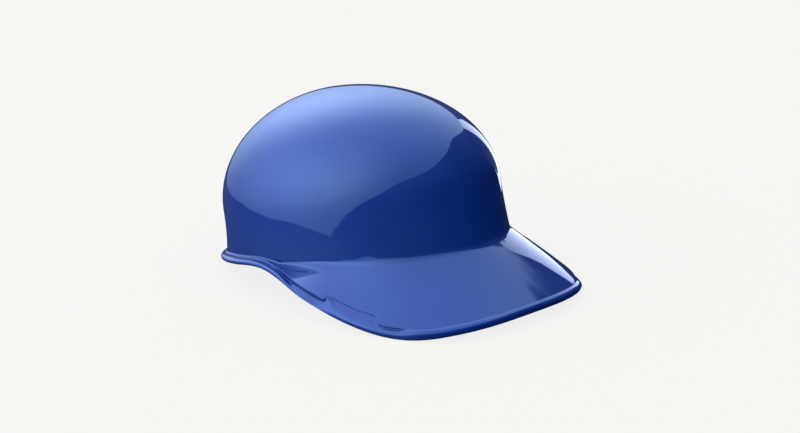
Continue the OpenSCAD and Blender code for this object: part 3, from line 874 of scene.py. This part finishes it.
class CAP_OT_tapes(bpy.types.Operator):
    """Make the hook patches on the shell and the loop patches on the pads"""
    bl_idname = "skull_cap.tapes"
    bl_label = "Hook and loop patches"

    def execute(self, context):
        layer = PadLayer(context)
        tone = tuple(context.scene.cap_colours.tape)
        tapes = {"hook": tape_material("hook_tape", tone, 1100.0, 0.0005),
                 "loop": tape_material("loop_tape", shade(tone, 1.6), 600.0, 0.0004)}
        lines = [np.linspace(-part, part, n) for part, n in zip(TAPE_SHARES, (60, 30))]
        for pad in liner_pads(layer.liner):
            for kind, material in tapes.items():
                finish_piece(layer.slab(f"{pad.name}_{kind}_tape", pad, lines, layer.depths[kind], layer.liner.patch),
                             material, kind + "_tape", f"{pad.name}_{kind}_patch")
        return {"FINISHED"}


class CAP_OT_foams(bpy.types.Operator):
    """Make the backing sheets, the firm cores and the comfort foams of the pads"""
    bl_idname = "skull_cap.foams"
    bl_label = "Backings and foams"

    def execute(self, context):
        layer, colours = PadLayer(context), context.scene.cap_colours
        liner, d = layer.liner, layer.depths
        sheet = cloth_material("backing_sheet", tuple(colours.backing), 2200.0, 0.1)
        firm = foam_material("firm_foam", tuple(colours.firm_foam), 1500.0)
        comfort = foam_material("comfort_foam", tuple(colours.comfort_foam), 800.0)
        inset, lines = liner.cover + liner.gap, pad_lines(49, 25)
        for pad in liner_pads(liner):
            finish_piece(layer.slab(pad.name + "_backing_sheet", pad, lines, d["backing"], liner.backing),
                         sheet, "backing_sheet", pad.name + "_pad_backing")
            finish_piece(layer.slab(pad.name + "_firm_core", pad, lines, d["core"], liner.core, inset),
                         firm, "firm_foam", pad.name + "_pad_core")
            soft = layer.slab(pad.name + "_comfort_foam", pad, lines, d["comfort"], liner.comfort, inset, 1)
            finish_piece(soft, comfort, "comfort_foam", pad.name + "_pad_comfort")
        return {"FINISHED"}


class CAP_OT_covers(bpy.types.Operator):
    """Make the sewn fabric covers of the pads"""
    bl_idname = "skull_cap.covers"
    bl_label = "Pad covers"

    def execute(self, context):
        layer = PadLayer(context)
        fabric = cloth_material("liner_fabric", tuple(context.scene.cap_colours.fabric), 1500.0)
        u, v = np.meshgrid(*pad_lines(97, 45), indexing="ij")
        for pad in liner_pads(layer.liner):
            piece = self.cover(layer, pad, u, v)
            finish_piece(piece, fabric, "liner_fabric", pad.name + "_pad_cover")
        return {"FINISHED"}

    def cover(self, layer, pad, u, v):
        """An open dish: the face on the head, the rolled sides and the same again a fabric's thickness inside"""
        liner, d = layer.liner, layer.depths
        f, cloth = Faces(), layer.cloth(pad, u, v)
        x, y = pad_xy(liner, pad, u, v)
        to_edge = np.minimum((1 - np.abs(u)) * pad.half_l, (1 - np.abs(v)) * pad.half_w)
        round_part = np.clip(EDGE_ROLL ** 2 - (EDGE_ROLL - to_edge) ** 2, 0, None)
        drop = np.where(to_edge < EDGE_ROLL, EDGE_ROLL - np.sqrt(round_part), 0)
        pucker = (PUCKER * np.sin(x / PUCKER_PITCH * 2 * np.pi) * np.exp(-to_edge / PUCKER_REACH)
                  * (np.abs(v) > np.abs(u) * 0.5))
        top = f.add(layer.point(pad, u, v, d["cover"] - drop + pucker, part=1))
        f.grid(top, True)
        loops, cloth_rows = [rim(top)], [cloth]
        edge_u, edge_v = u.ravel()[rim(top)], v.ravel()[rim(top)]
        side_from, side_to = d["cover"] - EDGE_ROLL, d["core"]

        def side(x, y, depth, cloth_row):
            loops.append(f.add(layer.seat(pad_point(layer.s, liner, pad, x, y, depth))))
            cloth_rows.append(np.stack(cloth_row, -1))

        # The weave runs on down the sides
        for q in (0.25, 0.5, 0.75, 1.0):
            x, y = pad_xy(liner, pad, edge_u, edge_v, SIDE_HOLLOW * math.sin(math.pi * q))
            side(x, y, mix(side_from, side_to, q), (x * (1 + q * 0.02), y * (1 + q * 0.05), 0 * x + q * 0.004))
        x, y = pad_xy(liner, pad, edge_u, edge_v, liner.cover)
        for depth in (side_to, side_from):
            side(x, y, depth, (x, y, 0 * x))
        inner = f.add(layer.point(pad, u, v, d["cover"] - liner.cover, liner.cover, 1))
        f.grid(inner)
        loops.append(rim(inner))
        for upper, lower in zip(loops[:-1], loops[1:]):
            f.strip(lower, upper)
        piece = f.piece(pad.name + "_cover_fabric")
        outward(piece)
        set_attribute(piece, "cloth", "FLOAT_VECTOR", np.concatenate([*cloth_rows, cloth]))
        return piece


def stitch_tree():
    """Geometry Nodes tree that lays stitches end to end along a mesh of edges"""
    name = "stitch_row"
    if name in bpy.data.node_groups:
        return bpy.data.node_groups[name]
    tree = bpy.data.node_groups.new(name, "GeometryNodeTree")
    for label, kind, value in (("Geometry", "Geometry", None), ("Pitch", "Float", 0.0036),
                               ("Stitch length", "Float", 0.0026), ("Thread", "Float", 0.0005),
                               ("Seed", "Int", STITCH_SEED), ("Material", "Material", None)):
        socket = tree.interface.new_socket(label, in_out="INPUT", socket_type="NodeSocket" + kind)
        if value is not None:
            socket.default_value = value
    tree.interface.new_socket("Geometry", in_out="OUTPUT", socket_type="NodeSocketGeometry")
    t, given = Nodes(tree), tree.nodes.new("NodeGroupInput").outputs
    seam = t.add("GeometryNodeMeshToCurve", {"Mesh": given["Geometry"]})[0]
    marks = t.add("GeometryNodeCurveToPoints", {"Curve": seam, "Length": given["Pitch"]}, mode="LENGTH")
    line = t.add("GeometryNodeCurvePrimitiveLine", {"Start": (0, 0, -0.5), "End": (0, 0, 0.5)})[0]
    bend = t.add("GeometryNodeResampleCurve", {"Curve": line, "Count": 5})[0]
    arch = t.maths("SINE", t.product(t.add("GeometryNodeSplineParameter")["Factor"], math.pi))
    lift = t.add("CombineXYZ", {"X": t.product(arch, 0.12)})[0]
    arched = t.add("GeometryNodeSetPosition", {"Geometry": bend, "Offset": lift})[0]
    ring = t.add("GeometryNodeCurvePrimitiveCircle", {"Resolution": 6, "Radius": 0.5})[0]
    slim = t.maths("DIVIDE", given["Thread"], given["Stitch length"])
    size = t.add("CombineXYZ", dict.fromkeys("XYZ", slim))[0]
    thin = t.add("GeometryNodeTransform", {"Geometry": ring, "Scale": size})[0]
    body = t.add("GeometryNodeCurveToMesh", {"Curve": arched, "Profile Curve": thin, "Fill Caps": True})[0]
    wobble = t.add("FunctionNodeRandomValue", {2: 0.94, 3: 1.06, "Seed": given["Seed"]}, data_type="FLOAT")[1]
    scale = t.product(given["Stitch length"], wobble)
    laid = t.add("GeometryNodeInstanceOnPoints", {"Points": marks["Points"], "Rotation": marks["Rotation"],
                                                  "Instance": body, "Scale": scale})[0]
    real = t.add("GeometryNodeRealizeInstances", {0: laid})[0]
    coloured = t.add("GeometryNodeSetMaterial", {"Geometry": real, "Material": given["Material"]})[0]
    t.feed(tree.nodes.new("NodeGroupOutput"), {0: coloured})
    return tree


class CAP_OT_stitches(bpy.types.Operator):
    """Sew the covers: a row of stitches round each pad and one down each channel"""
    bl_idname = "skull_cap.stitches"
    bl_label = "Stitches"

    def execute(self, context):
        layer = PadLayer(context)
        thread = thread_material(tuple(context.scene.cap_colours.thread))
        for pad in liner_pads(layer.liner):
            carrier = self.seams(layer, pad)
            piece = self.sewn(context, layer.liner, carrier, pad.name + "_stitches", thread)
            finish_piece(piece, thread, "liner_fabric")
        return {"FINISHED"}

    def seams(self, layer, pad):
        """A mesh of edges where the stitches go"""
        inset_u, inset_v = 1 - SEAM_INSET / pad.half_l, 1 - SEAM_INSET / pad.half_w
        q = np.linspace(0, 2 * np.pi, 240, endpoint=False)
        c, n = np.cos(q), np.sin(q)
        k = (np.abs(c) ** 8 + np.abs(n) ** 8) ** (1 / 8)
        v = np.linspace(-inset_v + 0.05, inset_v - 0.05, 40)
        lines = [(c / k * inset_u, n / k * inset_v)] + [(np.full(40, place), v) for place in (-1 / 3, 1 / 3)]
        points, edges = [], []
        depth = layer.depths["cover"] + layer.liner.stitch_thread * 0.15
        for u, v in lines:
            first = len(points)
            points.extend(tuple(p) for p in layer.point(pad, u, v, depth, part=1))
            edges.extend((i, i + 1) for i in range(first, len(points) - 1))
            if first == 0:
                edges.append((len(points) - 1, 0))
        mesh = bpy.data.meshes.new(pad.name + "_seams")
        mesh.from_pydata(points, edges, [])
        carrier = bpy.data.objects.new(pad.name + "_seams", mesh)
        bpy.context.scene.collection.objects.link(carrier)
        return carrier

    def sewn(self, context, liner, carrier, name, thread):
        """The stitches along a mesh of edges, which they replace"""
        modifier = carrier.modifiers.new("stitches", "NODES")
        modifier.node_group = stitch_tree()
        values = {"Pitch": liner.stitch_pitch, "Stitch length": liner.stitch_length, "Thread": liner.stitch_thread,
                  "Seed": STITCH_SEED, "Material": thread}
        for item in modifier.node_group.interface.items_tree:
            if item.item_type == "SOCKET" and item.in_out == "INPUT" and item.name in values:
                modifier[item.identifier] = values[item.name]
        graph = context.evaluated_depsgraph_get()
        graph.update()
        result = bpy.data.meshes.new_from_object(carrier.evaluated_get(graph), depsgraph=graph)
        result.name = name
        bpy.data.objects.remove(carrier)
        piece = bpy.data.objects.new(name, result)
        context.scene.collection.objects.link(piece)
        if len(result.polygons) < 100:
            raise RuntimeError("the stitch tree made no stitches")
        result.polygons.foreach_set("use_smooth", [True] * len(result.polygons))
        return piece


def emptied(owner):
    """The nodes of a material or a world, without those it starts with"""
    owner.use_nodes = True
    owner.node_tree.nodes.clear()
    return Nodes(owner.node_tree)


class CAP_OT_stage(bpy.types.Operator):
    """Make the floor, the studio light and the camera"""
    bl_idname = "skull_cap.stage"
    bl_label = "Stage and camera"

    def execute(self, context):
        scene = context.scene
        self.floor(scene)
        self.surround(scene)
        self.panels(scene)
        self.camera(scene)
        scene.view_settings.view_transform = "Standard"
        return {"FINISHED"}

    def floor(self, scene):
        """The floor is the backdrop's colour, and keeps a little of the cap's shadow"""
        size, stage, colours = 6.0, scene.cap_stage, scene.cap_colours
        floor = new_piece("floor", [(-size, -size, 0), (size, -size, 0), (size, size, 0), (-size, size, 0)],
                          [(0, 1, 2, 3)], smooth_faces=False)
        material = bpy.data.materials.new("studio_floor")
        t = emptied(material)
        matt = t.add("BsdfDiffuse", {"Color": (*colours.floor_shade, 1)})[0]
        lit = t.add("Emission", {"Color": (*colours.floor, 1), "Strength": stage.floor_glow})[0]
        seen = t.product(t.add("LightPath")["Is Camera Ray"], 1 - stage.shadow)
        t.add("OutputMaterial", {0: t.add("MixShader", {0: seen, 1: matt, 2: lit})[0]})
        dress(floor, material)
        floor.visible_glossy = False

    def surround(self, scene):
        """A softbox hangs over the cap and behind it, and the rest is dim"""
        scene.world = bpy.data.worlds.new("studio")
        t = emptied(scene.world)
        way = t.add("TexCoord")["Generated"]
        east, north, up = t.add("SeparateXYZ", {0: way})

        def spots(even, lights):
            total = even
            for azimuth, elevation, sharpness, strength in lights:
                a, e = math.radians(azimuth), math.radians(elevation)
                aim = (math.sin(a) * math.cos(e), -math.cos(a) * math.cos(e), math.sin(e))
                off = t.maths("SUBTRACT", t.dot(way, aim), 1.0)
                total = t.total(t.product(t.maths("POWER", math.e, t.product(off, sharpness)), strength), total)
            return t.maths("MAXIMUM", total, LEAST_LIGHT)

        turn = t.total(t.product(t.maths("ARCTAN2", east, t.product(north, -1.0)), 0.5 / math.pi), 0.5)
        edge = t.tree.nodes.new("ShaderNodeFloatCurve")
        t.feed(edge, {"Value": turn})
        points = edge.mapping.curves[0].points
        while len(points) < len(SOFTBOX_EDGE):
            points.new(0.5, 0.5)
        for point, (azimuth, elevation) in zip(points, SOFTBOX_EDGE):
            point.location = (azimuth / 360 + 0.5, elevation / 180 + 0.5)
            point.handle_type = "AUTO_CLAMPED"
        edge.mapping.update()
        edge_height = t.product(t.maths("SUBTRACT", edge.outputs[0], 0.5), math.pi)
        above = t.maths("SUBTRACT", t.maths("ARCSINE", up), edge_height)
        inside = t.ramp(above, -EDGE_SOFTNESS, EDGE_SOFTNESS, kind="SMOOTHSTEP")
        softbox = t.product(spots(*SOFTBOX_LIGHT), inside)
        dimmed = t.ramp(up, *ROOM_DIMS, kind="SMOOTHSTEP")
        room = t.product(spots(*ROOM_LIGHT), t.maths("SUBTRACT", 1.0, inside), dimmed)
        behind = t.ramp(t.dot(way, TONE_WAY), -1.0, 1.0)
        strength = t.product(t.total(softbox, room), scene.cap_stage.light)
        light = t.add("Background", {"Color": t.blend(behind, *TONES), "Strength": strength})[0]
        backdrop = t.add("Background", {"Color": (*scene.cap_colours.floor, 1), "Strength": 1.0})[0]
        seen = t.add("LightPath")["Is Camera Ray"]
        t.add("OutputWorld", {0: t.add("MixShader", {0: seen, 1: light, 2: backdrop})[0]})

    def panels(self, scene):
        """An upright strip shows as a bright band on the dome and the bill, and a flag narrows it on the dome"""
        for name, x, outline, tone, strength in PANELS:
            panel = new_piece(name, [(x, y, z) for y, z in outline], [range(len(outline))], smooth_faces=False)
            material = bpy.data.materials.new(name)
            t = emptied(material)
            glow = t.add("Emission", {"Color": (*tone, 1), "Strength": strength * scene.cap_stage.light})[0]
            t.add("OutputMaterial", {0: glow})
            dress(panel, material)
            panel.visible_camera = panel.visible_diffuse = panel.visible_shadow = False

    def camera(self, scene):
        stage = scene.cap_stage
        low, high = (Vector(v) for v in CAD_BOX)
        a, e, roll = stage.azimuth, stage.elevation, stage.roll
        back = Vector((math.sin(a) * math.cos(e), -math.cos(a) * math.cos(e), math.sin(e)))
        right = Vector((math.cos(a), math.sin(a), 0))
        up = back.cross(right)
        turned_right = right * math.cos(roll) + up * math.sin(roll)
        turned_up = up * math.cos(roll) - right * math.sin(roll)
        data = bpy.data.cameras.new("camera")
        data.sensor_width = 36
        data.lens = stage.lens
        data.dof.use_dof = False
        camera = bpy.data.objects.new("camera", data)
        place = Matrix((turned_right, turned_up, back)).transposed().to_4x4()
        place.translation = (low + high) / 2 + right * stage.across + up * stage.above + back * stage.distance
        camera.matrix_world = place
        scene.collection.objects.link(camera)
        scene.camera = camera


class CAP_PT_panel(bpy.types.Panel):
    """Lists the pieces of the cap"""
    bl_idname = "CAP_PT_panel"
    bl_label = "Skull cap"
    bl_space_type = "VIEW_3D"
    bl_region_type = "UI"
    bl_category = "Skull cap"

    def draw(self, context):
        for operator in OPERATORS:
            self.layout.operator(operator.bl_idname)


OPERATORS = (CAP_OT_shell, CAP_OT_tapes, CAP_OT_foams, CAP_OT_covers, CAP_OT_stitches, CAP_OT_stage)
GROUPS = {"cap_moulding": CapMouldingSizes, "cap_liner": CapLinerSizes, "cap_colours": CapColours,
          "cap_stage": CapStage}
CLASSES = (*GROUPS.values(), *OPERATORS, CAP_PT_panel)


def register():
    for each in CLASSES:
        bpy.utils.register_class(each)
    for name, group in GROUPS.items():
        setattr(bpy.types.Scene, name, PointerProperty(type=group))


def unregister():
    for name in GROUPS:
        delattr(bpy.types.Scene, name)
    for each in reversed(CLASSES):
        bpy.utils.unregister_class(each)


def main():
    register()
    for operator in OPERATORS:
        group, name = operator.bl_idname.split(".")
        getattr(getattr(bpy.ops, group), name)()


if __name__ == "__main__":
    main()
